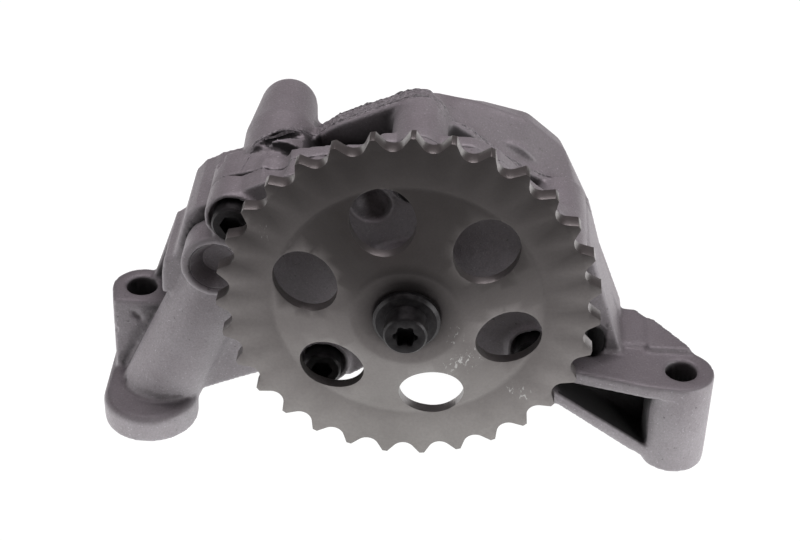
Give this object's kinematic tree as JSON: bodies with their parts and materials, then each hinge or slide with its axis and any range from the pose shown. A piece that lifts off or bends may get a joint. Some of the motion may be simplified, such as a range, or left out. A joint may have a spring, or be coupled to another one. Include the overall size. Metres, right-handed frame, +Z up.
{
  "type": "engine oil pump",
  "caption": "Chain-driven gear oil pump: sprocket with round windows, cast housing on two legs, domed relief valve, suction flange behind.",
  "frame": {"origin": "on the mounting plane, below the middle of the part in both directions; the drive shaft runs above it at z 55 mm", "axes": "+X from the outlet foot to the right arm, +Y from the sprocket to the suction flange, +Z up from the mounting faces"},
  "size_m": [0.1648, 0.085, 0.1037],
  "materials": {
    "cast_alloy": "matt die casting",
    "sprocket_steel": "satin, phosphated",
    "black_steel": "black oxide",
    "gear_steel": "sintered, ground faces",
    "shaft_steel": "ground",
    "bearing_bronze": "satin",
    "plug_steel": "pressed",
    "spring_steel": "drawn wire"
  },
  "bodies": {
    "casting": {"pump_housing": "cast_alloy", "front_cover": "cast_alloy", "front_shaft_bush": "bearing_bronze", "rear_shaft_bush": "bearing_bronze", "idler_shaft": "shaft_steel", "cover_screw_upper_left": "black_steel", "cover_screw_top": "black_steel", "cover_screw_upper_right": "black_steel", "cover_screw_lower_right": "black_steel", "cover_screw_lower_left": "black_steel", "cover_dowel_left": "shaft_steel", "cover_dowel_right": "shaft_steel", "gallery_plug": "plug_steel", "relief_spring": "spring_steel"},
    "drive": {"drive_shaft": "shaft_steel", "drive_gear": "gear_steel", "sprocket": "sprocket_steel", "sprocket_bolt": "black_steel"},
    "driven": {"driven_gear": "gear_steel", "idler_gear_bush": "bearing_bronze"},
    "relief": {"relief_piston": "shaft_steel"}
  },
  "joints": [
    {"name": "drive_spin", "type": "hinge", "parent": "casting", "child": "drive", "pos_m": [0, 0, 0.055], "axis": [0, 1, 0], "continuous": true},
    {"name": "driven_spin", "type": "hinge", "parent": "casting", "child": "driven", "pos_m": [-0.02626, 0, 0.055], "axis": [0, 1, 0], "continuous": true},
    {"name": "relief_slide", "type": "slide", "parent": "casting", "child": "relief", "axis": [0, 1, 0], "range_m": [0, 0.007], "stiffness_N_per_m": 4000, "deforming": ["relief_spring"]}
  ],
  "couplings": [
    {"joint": "driven_spin", "follows": "drive_spin", "ratio": -1}
  ]
}
